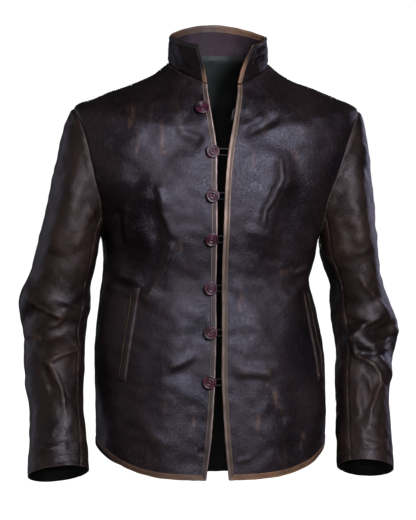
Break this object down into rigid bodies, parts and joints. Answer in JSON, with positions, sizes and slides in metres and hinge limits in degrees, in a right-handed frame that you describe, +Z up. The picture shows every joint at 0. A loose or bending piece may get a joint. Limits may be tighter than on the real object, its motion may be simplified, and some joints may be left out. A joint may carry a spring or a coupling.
{
  "type": "stand-collar leather jacket",
  "caption": "Worn stand-collar leather jacket in its filled-out form, with a button-and-loop front, slanted pocket welts, two-piece sleeves and a curved, edge-bound hem.",
  "frame": {"origin": "middle of the neck seam, where the wearer's neck and shoulders hold the jacket", "axes": "+Z up from hem to collar, the front faces -Y, +X towards the wearer's left sleeve"},
  "size_m": [0.6416, 0.2535, 0.7632],
  "materials": {
    "body_leather": "waxed dark brown-black leather with a soft sheen, rubbed streaks and fine grain",
    "sleeve_leather": "the same leather, browner and more creased on the sleeves",
    "worn_edge": "tan raw leather where the bound edges are rubbed through, with two rows of stitching",
    "lining": "near-black green woven lining",
    "button_gloss": "glossy dark burgundy with turned rings",
    "loop_cord": "round rolled leather cord, dark and matt"
  },
  "bodies": {
    "root": {"right_front": "body_leather", "right_front_binding": "worn_edge", "right_hem_binding": "worn_edge", "left_front": "body_leather", "left_front_binding": "worn_edge", "left_hem_binding": "worn_edge", "back": "body_leather", "back_hem_binding": "worn_edge", "back_lining": "lining", "right_top_sleeve": "sleeve_leather", "right_undersleeve": "sleeve_leather", "left_top_sleeve": "sleeve_leather", "left_undersleeve": "sleeve_leather", "collar": "body_leather", "collar_binding": "worn_edge", "right_pocket_welt": "body_leather", "left_pocket_welt": "body_leather", "button_1": "button_gloss", "loop_1": "loop_cord", "button_2": "button_gloss", "loop_2": "loop_cord", "button_3": "button_gloss", "loop_3": "loop_cord", "button_4": "button_gloss", "loop_4": "loop_cord", "button_5": "button_gloss", "loop_5": "loop_cord", "button_6": "button_gloss", "loop_6": "loop_cord", "button_7": "button_gloss", "loop_7": "loop_cord"}
  },
  "joints": []
}
